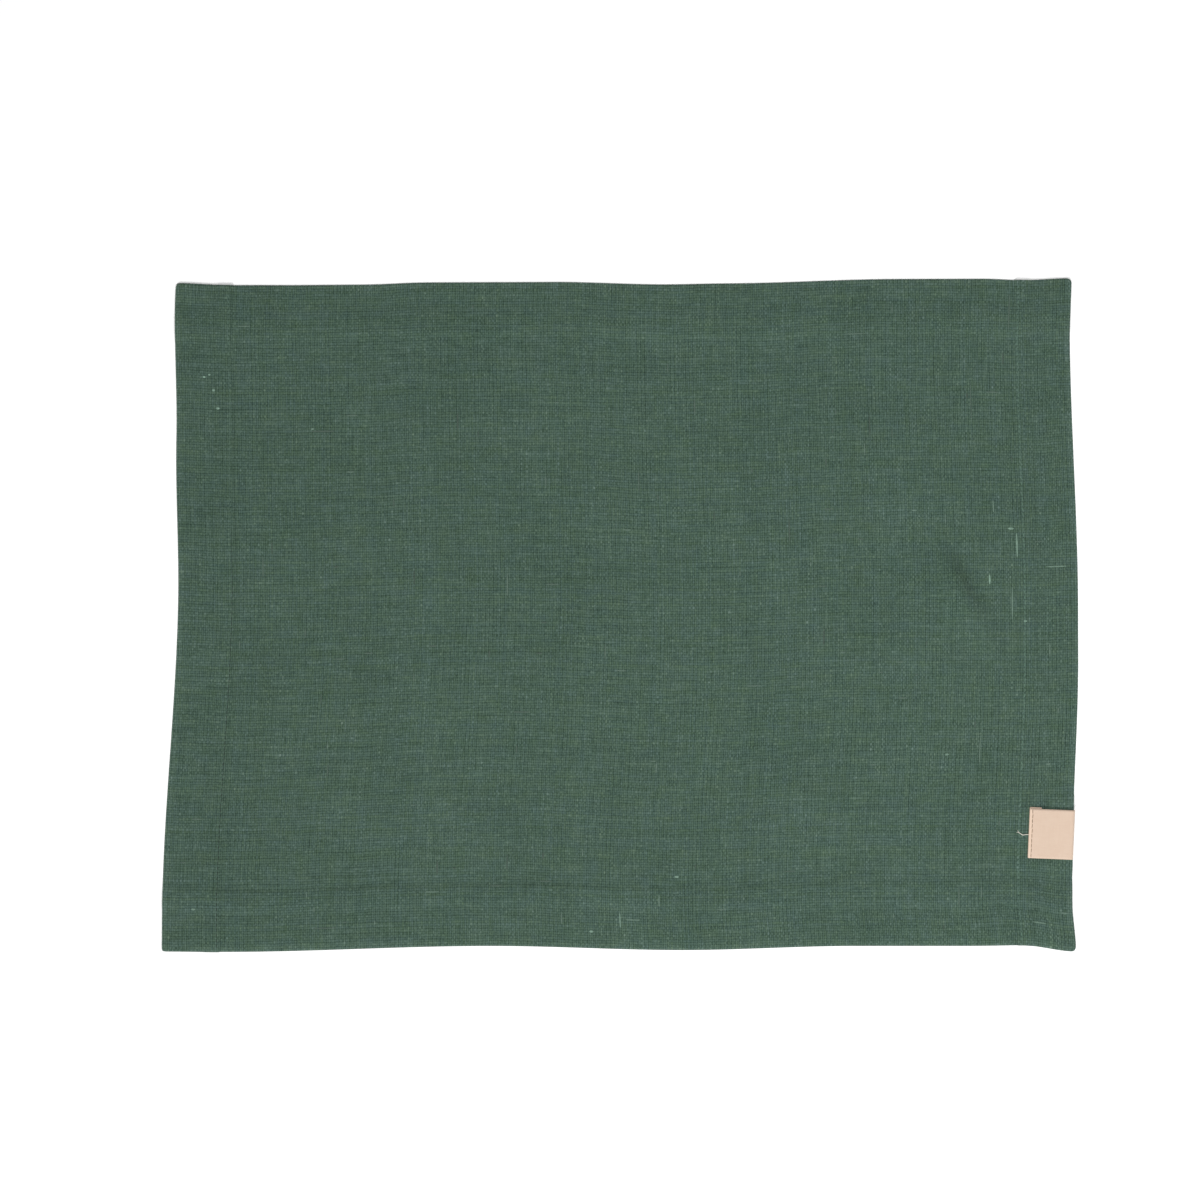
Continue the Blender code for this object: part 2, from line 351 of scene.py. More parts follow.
def top_height(from_left, from_near):
    """The middle of the top layer's thickness, above the floor."""
    x, y = table_place(from_left, from_near)
    covered = side_pile(from_left) + end_pile(from_left, from_near)
    in_field = 1.0 - ease(covered / LAYER)
    from_side = np.minimum(from_left, MAT_WIDTH - from_left)
    from_edge = np.minimum(from_side, np.minimum(from_near, MAT_DEPTH - from_near))
    loft = between(HEM_LOFT, FIELD_LOFT, in_field)
    billow = BILLOW * ripples(x, y, BILLOW_WAVE, seed=2) * between(BILLOW_ON_HEMS, 1.0, in_field)
    ripple = RIPPLE * ripples(x, y, RIPPLE_WAVE, seed=3)
    relief = loft + billow + ripple + stitch_relief(from_left, from_near, x, y) + crease_relief(x, y)
    above = np.logaddexp(0.0, (relief - LEAST_RELIEF) / RELIEF_SOFTNESS) * RELIEF_SOFTNESS
    relief = ease(from_edge / LOOSE_FROM_EDGE) * (LEAST_RELIEF + above)
    shoulder = SHOULDER * np.clip(1.0 - from_edge / SHOULDER_WIDTH, 0.0, 1.0) ** 2
    return covered + LAYER / 2 + label_lift(from_left, from_near) + relief - shoulder


def lowest_height(from_left, from_near):
    """The middle of the lowest layer of a side hem."""
    return LAYER / 2 + label_lift(from_left, from_near)


def end_flap_height(from_left, from_near):
    """The middle of the lowest layer of a near or far hem, which lies on the side hems."""
    return side_pile(from_left) + lowest_height(from_left, from_near)


# ---- The lines of the cloth's mesh ----

MESH_STEP = 3.1 * MM
FLAP_STEP = 6.0 * MM
FINE_STEP = 1.9 * MM
FINE_COLUMNS = (426.0 * MM, 450.0 * MM)
FINE_ROWS = (192.0 * MM, 222.0 * MM)

# Where lines run on top of the mat, in millimetres inward from its edge and from a hem's width.
LINES_FROM_EDGE = (1.3, 2.2, 3.4, 5.0)
LINES_FROM_HEM = (-9.5, -8.0, -6.5, -4.5, -3.0, -2.2, -1.4, -0.8, -0.2)
LINES_FROM_HEM += (0.4, 1.0, 1.6, 2.2, 2.9, 3.8, 5.0)

# A line of the mesh that runs along an edge: which part of the hem it is in, its distance from
# the edge, its turn round a fold from 90 degrees on top to -90 degrees below, and its distance
# from the edge in the cloth when it is laid out flat.
Line = namedtuple("Line", "part inset turn cut")
RIM_TURNS = [radians(turn) for turn in (67, 45, 22, 0, -22, -45, -67, -90)]
INNER_FOLD_STEPS = 6


def fill_gaps(places, step):
    """Adds places between the given ones so that no two neighbours are more than a step apart."""
    filled = [places[0]]
    for start, end in zip(places, places[1:]):
        parts = max(1, ceil((end - start) / step - 0.01))
        filled += [between(start, end, part / parts) for part in range(1, parts + 1)]
    return filled


def hem_lines(hem):
    """The lines of a hem from its rounded edge to the raw edge of the cloth that is turned in."""
    lines = []
    for turn in RIM_TURNS:
        part = "upper" if turn >= 0.0 else "lower"
        cut = RIM_ROUND - RIM_FOLD_RADIUS * (pi / 2 - turn)
        lines.append(Line(part, RIM_ROUND * (1.0 - cos(turn)), turn, cut))
    flap_start = lines[-1].cut
    stitches = hem.width - hem.stitches_in
    places = fill_gaps([RIM_ROUND, stitches, hem.width - INNER_ROUND], FLAP_STEP)
    for place in places[1:]:
        lines.append(Line("flap", place, -pi / 2, flap_start - (place - RIM_ROUND)))
    fold_start = lines[-1].cut
    for step in range(1, INNER_FOLD_STEPS + 1):
        turned = pi * step / INNER_FOLD_STEPS
        turn = -pi / 2 + turned
        inset = hem.width - INNER_ROUND * (1.0 - cos(turn))
        lines.append(Line("inner fold", inset, turn, fold_start - INNER_ROUND * turned))
    turned_start = lines[-1].cut
    for place in (hem.width - TURN_IN / 2, hem.width - TURN_IN):
        cut = turned_start - (hem.width - INNER_ROUND - place)
        lines.append(Line("turned", place, pi / 2, cut))
    return lines


def places_at_hem(hem):
    """The distances from an edge of the lines on top of its hem."""
    at_edge = [RIM_ROUND] + [place * MM for place in LINES_FROM_EDGE]
    return at_edge + [hem.width + place * MM for place in LINES_FROM_HEM]


def cloth_lines(length, low_hem, high_hem, fine):
    """All lines from one raw edge to the other: their parts, places, turns and cut places. They
    lie closer within the fine stretch, where the sharpest crease is."""
    high_places = [length - place for place in reversed(places_at_hem(high_hem))]
    places = fill_gaps(places_at_hem(low_hem) + fill_gaps(fine, FINE_STEP) + high_places, MESH_STEP)
    lines = hem_lines(low_hem)[::-1]
    lines += [Line("top", place, pi / 2, place) for place in places]
    for line in hem_lines(high_hem):
        lines.append(line._replace(inset=length - line.inset, cut=length - line.cut))
    return [np.array(column) for column in zip(*lines)]


def folded_height(part, turn, top, lowest):
    """The height of hem lines, from those of the top layer and of the hem's lowest layer."""
    rim = top - (top - lowest) / 2 * (1.0 - np.sin(turn))
    turned = lowest + LAYER / 2 * (1.0 + np.sin(turn))
    height = np.where(part == "lower", rim, lowest)
    height = np.where(part == "inner fold", turned, height)
    return np.where(part == "turned", lowest + LAYER, height)


def cloth_surface():
    """The middle of the cloth's thickness, folded, as a grid of points. There is none (NaN) where
    a side hem's layers would cross those of a near or far hem. Also gives the places when flat."""
    columns = cloth_lines(MAT_WIDTH, LEFT_HEM, RIGHT_HEM, FINE_COLUMNS)
    rows = cloth_lines(MAT_DEPTH, NEAR_HEM, FAR_HEM, FINE_ROWS)
    parts, places, turns, cuts = (
        np.meshgrid(column, row, indexing="ij") for column, row in zip(columns, rows)
    )
    column_part, row_part = parts
    column_turn, row_turn = turns
    x, y = table_place(*places)
    top = top_height(*places)
    lowest = lowest_height(*places)
    end_flap = end_flap_height(*places)

    side_drop = (top - lowest) / 2 * (1.0 - np.sin(column_turn))
    end_drop = (top - end_flap) / 2 * (1.0 - np.sin(row_turn))
    upper_height = top - np.hypot(side_drop, end_drop)
    side_height = folded_height(column_part, column_turn, top, lowest)
    end_height = folded_height(row_part, row_turn, top, end_flap)

    column_on_top = np.isin(column_part, ("top", "upper"))
    row_on_top = np.isin(row_part, ("top", "upper"))
    z = np.full_like(x, np.nan)
    z = np.where(column_on_top & row_on_top, upper_height, z)
    z = np.where(~column_on_top & (row_part == "top"), side_height, z)
    z = np.where((column_part == "top") & ~row_on_top, end_height, z)
    return np.stack([x, y, z], axis=-1), np.stack(cuts, axis=-1)


# ---- Meshes ----


def new_object(name, vertices, faces, material, smooth=True):
    mesh = bpy.data.meshes.new(name)
    mesh.from_pydata(vertices, [], faces)
    mesh.materials.append(material)
    if smooth:
        mesh.shade_smooth()
    made = bpy.data.objects.new(name, mesh)
    bpy.context.scene.collection.objects.link(made)
    return made


def set_point_vectors(made, name, vectors):
    """Gives each vertex three numbers that a material can read."""
    attribute = made.data.attributes.new(name, "FLOAT_VECTOR", "POINT")
    attribute.data.foreach_set("vector", np.asarray(vectors, dtype=np.float32).ravel())


def grid_faces(present):
    """The four corners, as grid numbers, of each cell whose corners are all present."""
    number = np.arange(present.size).reshape(present.shape)
    whole = present[:-1, :-1] & present[1:, :-1] & present[1:, 1:] & present[:-1, 1:]
    corners = [number[:-1, :-1], number[1:, :-1], number[1:, 1:], number[:-1, 1:]]
    return np.stack([corner[whole] for corner in corners], axis=-1)


def surface_normals(points, faces):
    """The direction square to a surface at each point, as the mean of that of the faces round it."""
    normals = np.zeros_like(points)
    for corner in range(4):
        here = points[faces[:, corner]]
        after = points[faces[:, (corner + 1) % 4]] - here
        before = points[faces[:, (corner + 3) % 4]] - here
        square = np.cross(after, before)
        length = np.linalg.norm(square, axis=1, keepdims=True)
        np.add.at(normals, faces[:, corner], square / np.maximum(length, 1e-12))
    length = np.linalg.norm(normals, axis=1, keepdims=True)
    return normals / np.maximum(length, 1e-12)


def border_edges(faces):
    """The edges that belong to one face only, in the direction in which that face runs."""
    edges = np.concatenate([faces[:, [corner, (corner + 1) % 4]] for corner in range(4)])
    known = set(map(tuple, edges.tolist()))
    return np.array(sorted((start, end) for start, end in known if (end, start) not in known))


def lay_out_for_baking(made, flat, faces, border, thickness):
    """Maps a thick sheet by its places when flat: the front, the back above it, and the rim."""
    half_map = (1.0, 0.5)
    margin = 2.0 * thickness
    low = flat.min(axis=0) - margin
    span = flat.max(axis=0) + margin - low
    place = (flat - low) / span * half_map
    start, end = border.T
    along = flat[end] - flat[start]
    along = along / np.linalg.norm(along, axis=1, keepdims=True)
    outward = np.stack([along[:, 1], -along[:, 0]], axis=-1) * thickness / span * half_map
    rim = [place[end], place[start], place[start] + outward, place[end] + outward]
    corners = [place[faces], place[faces[:, ::-1]] + (0.0, 0.5), np.stack(rim, axis=1)]
    layer = made.data.uv_layers.new(name="OFBake")
    layer.data.foreach_set("uv", np.concatenate(corners).astype(np.float32).ravel())


def thick_sheet(name, grid, cut, thickness, material):
    """A cloth with two faces and real edges, from a grid of points in the middle of its thickness.
    cut gives each point's place in the cloth when flat, which the material reads."""
    present = ~np.isnan(grid[..., 2])
    kept = np.cumsum(present.ravel()) - 1
    points = grid[present]
    flat = cut[present]
    faces = kept[grid_faces(present)]
    half = surface_normals(points, faces) * thickness / 2
    count = len(points)
    border = border_edges(faces)
    start, end = border.T
    rim = np.stack([end, start, start + count, end + count], axis=-1)
    vertices = np.concatenate([points + half, points - half])
    all_faces = np.concatenate([faces, faces[:, ::-1] + count, rim])
    made = new_object(name, vertices.tolist(), all_faces.tolist(), material)
    places = np.concatenate([flat, np.zeros((count, 1))], axis=1)
    set_point_vectors(made, "cloth", np.concatenate([places, places]))
    lay_out_for_baking(made, flat, faces, border, thickness)
    return made


# A raised length of yarn or thread on a surface: its middle, its heading, its size, and how
# bright it is.
Run = namedtuple("Run", "left near heading length width height bright")
RUN_SINK = 0.06 * MM
RUN_SIDES = 6
FEWEST_STEPS = 4
BLUNTNESS = 2.6  # the higher, the nearer to its ends a run keeps its width
LEAST_TAPER = 0.02
DIP = 0.2  # a woven run's height goes down by up to twice this share
APART = 40.0 * MM  # so that no two runs have the same fibres
PRESSED_IN = 0.1 * MM  # how far the mat's weight presses the stitches below it into the cloth
PROBE = 0.25 * MM  # the distance over which a surface's slope is taken


def raised_runs(name, runs, surface, material, step=0.5 * MM, beat=None):
    """Yarns that stand proud of a surface, each a low ridge with tapered ends. surface gives the
    place and the direction square to it. beat is the length over which a yarn that is woven in
    goes under others and comes back."""
    lefts, nears, rises, marks, faces = [], [], [], [], []
    turns = np.linspace(0.0, pi, RUN_SIDES + 1)
    for number, run in enumerate(runs):
        steps = max(FEWEST_STEPS, ceil(run.length / step))
        along = np.linspace(-0.5, 0.5, steps + 1)
        taper = np.maximum(1.0 - (2.0 * np.abs(along)) ** BLUNTNESS, LEAST_TAPER) ** 0.5
        crown = taper.copy()
        if beat:
            crown *= 1.0 - DIP + DIP * np.cos(2.0 * pi * along * run.length / beat)
        offset = along * run.length
        beside = np.outer(taper, np.cos(turns)) * run.width / 2
        rise = np.outer(crown, np.sin(turns)) * run.height - RUN_SINK
        left = run.left + offset[:, None] * cos(run.heading) - beside * sin(run.heading)
        near = run.near + offset[:, None] * sin(run.heading) + beside * cos(run.heading)
        faces.append(sum(len(part) for part in lefts) + grid_faces(np.full(left.shape, True)))
        lefts.append(left.ravel())
        nears.append(near.ravel())
        rises.append(rise.ravel())
        apart = offset + number * APART
        mark = [np.broadcast_to(apart[:, None], left.shape).ravel(), beside.ravel()]
        marks.append(np.stack([*mark, np.full(left.size, run.bright)], axis=-1))
    places, square = surface(np.concatenate(lefts), np.concatenate(nears))
    vertices = places + square * np.concatenate(rises)[:, None]
    made = new_object(name, vertices.tolist(), np.concatenate(faces).tolist(), material)
    set_point_vectors(made, "yarn", np.concatenate(marks))
    return made


def square_to(height, left, near):
    """The place and the upward direction of points of a surface whose height is a function."""
    place, to_right, away = (
        np.stack([*table_place(*point), height(*point)], axis=-1)
        for point in ((left, near), (left + PROBE, near), (left, near + PROBE))
    )
    square = np.cross(to_right - place, away - place)
    return place, square / np.linalg.norm(square, axis=1, keepdims=True)


def mat_top(left, near):
    """The upper face of the cloth and the direction square to it."""
    place, square = square_to(top_height, left, near)
    return place + square * CLOTH_THICK / 2, square


def mat_underside(left, near):
    """The lower face of the hems and the direction square to it, downward."""
    place, square = square_to(lowest_height, left, near)
    return place - square * (CLOTH_THICK / 2 - PRESSED_IN), -square


def build_cloth(material):
    grid, cut = cloth_surface()
    made = thick_sheet("mat_cloth", grid, cut, CLOTH_THICK, material)
    flat_size = np.nanmax(cut, axis=(0, 1)) - np.nanmin(cut, axis=(0, 1))
    area = float(flat_size[0] * flat_size[1] - 4 * CORNER_CUT * CORNER_CUT)
    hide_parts("mat")
    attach(made, "root")
    return made, [float(size) for size in flat_size], area


# ---- Stitches and slubs ----

STITCH_PITCH = 2.9 * MM
STITCH_LENGTH = 2.3 * MM
STITCH_WIDTH = 0.42 * MM
STITCH_HEIGHT = 0.2 * MM
STITCH_DRIFT = 0.06 * MM
STITCH_LEAN = 0.05  # radians
STITCHES_CHANGE = 0.53  # where along a row its stitches start to change in brightness
CHANGE_LENGTH = 0.2
ROW_END = 2.0 * MM  # how far from the edges a row starts and ends


def row_of_stitches(start, end, heading, across, brightness, draw):
    """One row. across is its place from the left or the near edge, whichever it keeps."""
    count = round((end - start) / STITCH_PITCH)
    runs = []
    for number in range(count):
        along = start + (number + 0.5) * (end - start) / count
        drift = draw.normal(0.0, STITCH_DRIFT)
        lean = heading + draw.normal(0.0, STITCH_LEAN)
        left, near = (across + drift, along) if heading else (along, across + drift)
        # Painted shade: the stitches go from the row's first brightness to its second along it.
        share = ease((number / count - STITCHES_CHANGE) / CHANGE_LENGTH)
        bright = between(*brightness, share) * draw.uniform(0.75, 1.15)
        runs.append(Run(left, near, lean, STITCH_LENGTH, STITCH_WIDTH, STITCH_HEIGHT, bright))
    return runs


def hem_stitches(underside):
    """The runs of all four rows. Below, the near and far rows end where the side hems cover them."""
    draw = np.random.default_rng(21)
    start, end = ROW_END, MAT_WIDTH - ROW_END
    if underside:
        start += LEFT_HEM.width
        end -= RIGHT_HEM.width
    side_row = (ROW_END, MAT_DEPTH - ROW_END, pi / 2)
    end_row = (start, end, 0.0)
    runs = []
    for hem, row, length, is_far in (
        (LEFT_HEM, side_row, MAT_WIDTH, False),
        (RIGHT_HEM, side_row, MAT_WIDTH, True),
        (NEAR_HEM, end_row, MAT_DEPTH, False),
        (FAR_HEM, end_row, MAT_DEPTH, True),
    ):
        across = mirrored(hem.width - hem.stitches_in, length, is_far)
        runs += row_of_stitches(*row, across, hem.bright, draw)
    return runs


# The thick places in the yarns that catch the eye: where they lie on the table, which yarns they
# are in, their length and width, and how bright they are. In millimetres.
Slub = namedtuple("Slub", "x y run length width bright")
SLUBS = in_metres(
    Slub,
    (215.3, 168.0, "warp", 22.0, 0.8, 0.45),
    (219.3, 39.0, "warp", 15.0, 1.0, 0.95),
    (217.5, 6.5, "warp", 19.0, 0.8, 0.75),
    (194.3, 118.0, "warp", 24.0, 0.6, 0.45),
    (204.5, 19.8, "warp", 5.5, 1.1, 1.15),
    (163.0, 57.5, "weft", 3.0, 0.9, 0.7),
    (207.0, 60.5, "warp", 7.0, 0.8, 0.75),
    (237.5, -19.5, "warp", 8.0, 0.8, 0.65),
    (199.0, -75.0, "warp", 16.0, 0.7, 0.6),
    (188.0, -156.0, "warp", 13.0, 0.7, 0.5),
    (0.3, -169.0, "warp", 9.0, 0.9, 0.9),
    (21.4, -158.0, "warp", 7.0, 0.8, 0.7),
    (241.5, 27.5, "weft", 12.0, 0.9, 0.75),
    (216.5, 47.5, "weft", 3.6, 1.3, 0.95),
    (-230.3, 132.6, "weft", 1.7, 1.2, 1.3),
    (-227.4, 132.6, "weft", 1.5, 1.1, 1.1),
    (-225.0, 125.0, "weft", 1.9, 1.5, 1.05),
    (-222.6, 115.0, "weft", 2.2, 1.4, 1.1),
    (-170.3, 103.0, "weft", 2.0, 1.3, 0.75),
    (-236.2, -162.6, "weft", 2.4, 1.3, 0.8),
    (232.0, -170.0, "weft", 8.0, 1.0, 0.65),
    (245.6, -164.3, "weft", 5.0, 0.9, 0.6),
    (181.0, -77.0, "weft", 2.4, 1.2, 0.85),
    (237.3, -82.0, "weft", 2.2, 1.4, 0.6),
    (224.3, -3.6, "weft", 2.0, 1.4, 0.9),
    (-15.9, -175.1, "weft", 2.4, 1.4, 1.0),
    (31.4, -145.4, "weft", 2.6, 1.2, 1.0),
    (7.0, -168.4, "weft", 9.0, 0.8, 0.7),
    (56.0, -163.4, "weft", 5.0, 0.9, 0.55),
    unscaled="run bright",
)
SLUB_HEIGHT = 0.2 * MM
SLUB_STEP = 0.36 * MM
CHANCE_SLUBS = 110
CHANCE_MARGIN = 9.0 * MM
SHORTEST_SLUB = 1.5 * MM
LONGEST_SLUB = 14.0 * MM
SEARCH_ROUNDS = 12


def cloth_place(x, y):
    """The distances from the left and near edges of the point of the cloth at a place."""
    left = x + MAT_WIDTH / 2
    near = y + MAT_DEPTH / 2
    for _ in range(SEARCH_ROUNDS):
        here_x, here_y = table_place(np.array([left]), np.array([near]))
        left += x - here_x[0]
        near += y - here_y[0]
    return left, near


def slub_run(left, near, is_warp, length, width, bright):
    """A slub in the middle of the yarn that is nearest."""
    if is_warp:
        left = (round(left / WARP_PITCH - 0.5) + 0.5) * WARP_PITCH
    else:
        near = (round(near / WEFT_PITCH - 0.5) + 0.5) * WEFT_PITCH
    return Run(left, near, pi / 2 if is_warp else 0.0, length, width, SLUB_HEIGHT, bright)


def slub_runs():
    runs = []
    for slub in SLUBS:
        left, near = cloth_place(slub.x, slub.y)
        runs.append(slub_run(left, near, slub.run == "warp", slub.length, slub.width, slub.bright))
    draw = np.random.default_rng(8)
    for _ in range(CHANCE_SLUBS):
        left = draw.uniform(CHANCE_MARGIN, MAT_WIDTH - CHANCE_MARGIN)
        near = draw.uniform(CHANCE_MARGIN, MAT_DEPTH - CHANCE_MARGIN)
        length = min(draw.gamma(2.0, 2.0 * MM) + SHORTEST_SLUB, LONGEST_SLUB)
        width = draw.uniform(0.6 * MM, 1.0 * MM)
        bright = draw.uniform(0.3, 0.6)
        runs.append(slub_run(left, near, draw.random() < 0.5, length, width, bright))
    return runs


def build_sewing(thread, slub_yarn):
    pieces = [
        raised_runs("hem_stitches_top", hem_stitches(False), mat_top, thread),
        raised_runs("hem_stitches_below", hem_stitches(True), mat_underside, thread),
        raised_runs("slubs", slub_runs(), mat_top, slub_yarn, SLUB_STEP, beat=2.0 * WEFT_PITCH),
    ]
    for piece in pieces:
        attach(piece, "root")
    return pieces


# ---- The label ----


def label_frame():
    """The label's own axes: outward and along the edge, and the point where its fold starts."""
    outward = np.array([cos(LABEL_TURN), sin(LABEL_TURN)])
    along = np.array([-outward[1], outward[0]])
    beside = LABEL_FROM_NEAR + TAPE_WIDTH / 2 * np.linspace(-1.0, 1.0, 5)
    x, y = table_place(np.full(5, MAT_WIDTH), beside)
    edge = np.stack([x, y], axis=-1)
    fold_start = (edge @ outward).max() + LABEL_CLEARANCE - SOLID_FOLD_INSIDE
    origin = outward * fold_start + along * (edge[2] @ along)
    return origin, outward, along


def arc(x, z, radius, start, end, count):
    """Points round a middle, at turns in degrees upward from outward."""
    turns = np.radians(np.linspace(start, end, count))
    return list(zip(x + radius * np.cos(turns), z + radius * np.sin(turns)))


def upper_leg(place):
    """The height of the upper leg at a distance from its turned end: on its tucked layer, drawn
    down by the stitches, then down to the hem."""
    on_tuck = TUCK_Z + 2.0 * END_RADIUS
    settle_start = TUCK_LENGTH - 2.5 * MM
    settle_length = 11.0 * MM
    height = between(on_tuck, UPPER_LEG_Z, ease((place - settle_start) / settle_length))
    from_stitches = place + END_DEPTH - LABEL_STITCHES_IN
    return height - STITCH_DENT * np.exp(-((from_stitches / STITCH_DENT_WIDTH) ** 2))


def tape_path():
    """The middle of the tape's thickness from the tucked end, round its fold, to the lower end.
    Gives places outward from the start of the fold, and heights."""
    fold_radius = (UPPER_LEG_Z - LOWER_LEG_Z) / 2
    fold_x = SOLID_FOLD_OUTSIDE - TAPE_THICK / 2 - fold_radius
    end_x = LEFT_END + END_DEPTH
    points = [(end_x + place, TUCK_Z) for place in np.linspace(TUCK_LENGTH, 0.6 * MM, 7)]
    points += arc(end_x, TUCK_Z + END_RADIUS, END_RADIUS, 270.0, 90.0, 9)
    by_stitches = fill_gaps([0.3 * MM, 2.4 * MM], 0.3 * MM)
    beyond = fill_gaps([3.0 * MM, fold_x - end_x], 0.9 * MM)
    points += [(end_x + place, upper_leg(place)) for place in by_stitches + beyond]
    points += arc(fold_x, (UPPER_LEG_Z + LOWER_LEG_Z) / 2, fold_radius, 80.0, -90.0, 15)
    lower_places = np.linspace(1.0 * MM, fold_x - LEFT_END - 0.8 * MM, 14)
    points += [(fold_x - place, LOWER_LEG_Z) for place in lower_places]
    return np.array(points)


def build_label(material):
    path = tape_path()
    origin, outward, along = label_frame()
    steps = np.linalg.norm(np.diff(path, axis=0), axis=1)
    length = np.concatenate([[0.0], np.cumsum(steps)])
    beside = np.linspace(-TAPE_WIDTH / 2, TAPE_WIDTH / 2, TAPE_STEPS_ACROSS + 1)
    aside = TUCK_ASIDE * (1.0 - ease((length - TUCK_LENGTH) / (1.2 * MM)))
    grid = np.zeros((len(path), len(beside), 3))
    for column, (x, z) in enumerate(path):
        grid[column, :, :2] = origin + outward * x + np.outer(beside + aside[column], along)
        grid[column, :, 2] = z
    cut = np.stack(np.meshgrid(length, beside, indexing="ij"), axis=-1)
    made = thick_sheet("label_tape", grid, cut, TAPE_THICK, material)
    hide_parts("label")
    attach(made, "root")
    return made


def label_top(from_end, beside):
    """The upper face of the label: places from its turned end and from the middle of its width."""
    origin, outward, along = label_frame()
    place = origin + np.outer(LEFT_END + from_end, outward) + np.outer(beside, along)
    height = upper_leg(from_end - END_DEPTH) + TAPE_THICK / 2
    up = np.zeros((len(place), 3))
    up[:, 2] = 1.0
    return np.column_stack([place, height]), up


def build_label_stitches(material):
    count = round((TAPE_WIDTH - 1.0 * MM) / LABEL_STITCH_PITCH)
    size = (LABEL_STITCH_LENGTH, LABEL_STITCH_WIDTH, LABEL_STITCH_HEIGHT)
    draw = np.random.default_rng(4)
    runs = []
    for number in range(count):
        along = (number + 0.5 - count / 2) * LABEL_STITCH_PITCH
        place = LABEL_STITCHES_IN + draw.normal(0.0, 0.05 * MM)
        lean = pi / 2 + draw.normal(0.0, 0.04)
        runs.append(Run(place, along, lean, *size, draw.uniform(0.5, 1.1)))
    made = raised_runs("label_stitches", runs, label_top, material, step=0.3 * MM)
    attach(made, "root")
    return made


# The loose end of sewing thread beside the label, from under its turned end, and the two plies
# into which its tip parts. In millimetres.
Strand = namedtuple("Strand", "route radius")
STRANDS = [
    Strand(
        [
            (228.4, -121.2, 3.25),
            (226.0, -121.2, 3.15),
            (223.8, -121.2, 3.35),
            (222.5, -121.4, 3.3),
            (221.3, -120.7, 3.0),
            (220.3, -120.05, 2.6),
        ],
        0.24,
    ),
    Strand([(220.7, -120.3, 2.75), (220.15, -119.7, 2.6), (219.9, -118.9, 2.5)], 0.15),
    Strand([(220.6, -120.2, 2.7), (219.9, -120.05, 2.55), (219.2, -120.15, 2.45)], 0.13),
]
STRAND_SIDES = 8
STEPS_IN_SPAN = 6
STRAND_STEP = 0.35 * MM  # along the thread from ring to ring, as its material takes it
STRAND_ROUND = 1.2 * MM  # and once round it


def smooth_route(route):
    """Points on a smooth curve through the points of a route."""
    points = []
    spans = len(route) - 1
    for number in range(spans):
        before = route[max(number - 1, 0)]
        start = route[number]
        end = route[number + 1]
        after = route[min(number + 2, spans)]
        for step in range(STEPS_IN_SPAN):
            share = step / STEPS_IN_SPAN
            first = (end - before) * share
            second = (2.0 * before - 5.0 * start + 4.0 * end - after) * share**2
            third = (3.0 * start - before - 3.0 * end + after) * share**3
            points.append(start + (first + second + third) / 2)
    return points + [route[-1]]


def strand_mesh(strand, first):
    """The vertices, faces and yarn marks of a round thread with closed ends. first is the number
    of its first vertex."""
    vertices, marks, faces = [], [], []
    points = smooth_route([Vector([axis * MM for axis in place]) for place in strand.route])
    last = len(points) - 1
    for step, point in enumerate(points):
        heading = (points[min(step + 1, last)] - points[max(step - 1, 0)]).normalized()
        beside = heading.cross(Vector((0.0, 0.0, 1.0))).normalized()
        above = beside.cross(heading)
        radius = strand.radius * MM * min(1.0, 0.5 + (last - step) / 6)
        for side in range(STRAND_SIDES):
            turn = 2.0 * pi * side / STRAND_SIDES
            vertices.append(tuple(point + (beside * cos(turn) + above * sin(turn)) * radius))
            marks.append((step * STRAND_STEP, side / STRAND_SIDES * STRAND_ROUND, 1.0))
    for step in range(last):
        for side in range(STRAND_SIDES):
            ring = first + step * STRAND_SIDES
            after = ring + (side + 1) % STRAND_SIDES
            faces.append((ring + side, ring + STRAND_SIDES + side, after + STRAND_SIDES, after))
    faces.append(tuple(first + side for side in range(STRAND_SIDES)))
    faces.append(tuple(first + last * STRAND_SIDES + side for side in reversed(range(STRAND_SIDES))))
    return vertices, faces, marks


def build_loose_thread(material):
    vertices, faces, marks = [], [], []
    for strand in STRANDS:
        more_vertices, more_faces, more_marks = strand_mesh(strand, len(vertices))
        vertices += more_vertices
        faces += more_faces
        marks += more_marks
    made = new_object("loose_thread", vertices, faces, material)
    set_point_vectors(made, "yarn", marks)
    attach(made, "root")
    return made


# ---- Ways to write materials ----


def operator(operation, swapped=False):
    """A method of Signal that adds a Math node."""

    def method(signal, *others):
        values = (signal, *others)
        return signal.graph.math(operation, *(reversed(values) if swapped else values))

    return method


class Signal:
    """A value that a material works out at each point. What is done with it adds Math nodes."""

    def __init__(self, graph, socket):
        self.graph = graph
        self.socket = socket

    __add__ = operator("ADD")
    __radd__ = operator("ADD", swapped=True)
    __sub__ = operator("SUBTRACT")
    __rsub__ = operator("SUBTRACT", swapped=True)
    __mul__ = operator("MULTIPLY")
    __rmul__ = operator("MULTIPLY", swapped=True)
    __truediv__ = operator("DIVIDE")
    __mod__ = operator("MODULO")
    __pow__ = operator("POWER")
    __abs__ = operator("ABSOLUTE")
    floor = operator("FLOOR")
    root = operator("SQRT")
    sine = operator("SINE")
    cosine = operator("COSINE")
    at_least = operator("MAXIMUM")
    at_most = operator("MINIMUM")


# Random patches: the lengths of their waves across and away in millimetres, a seed that makes
# them differ from others, how much fine detail they have, and their strength.
Patches = namedtuple("Patches", "across away seed detail strength")


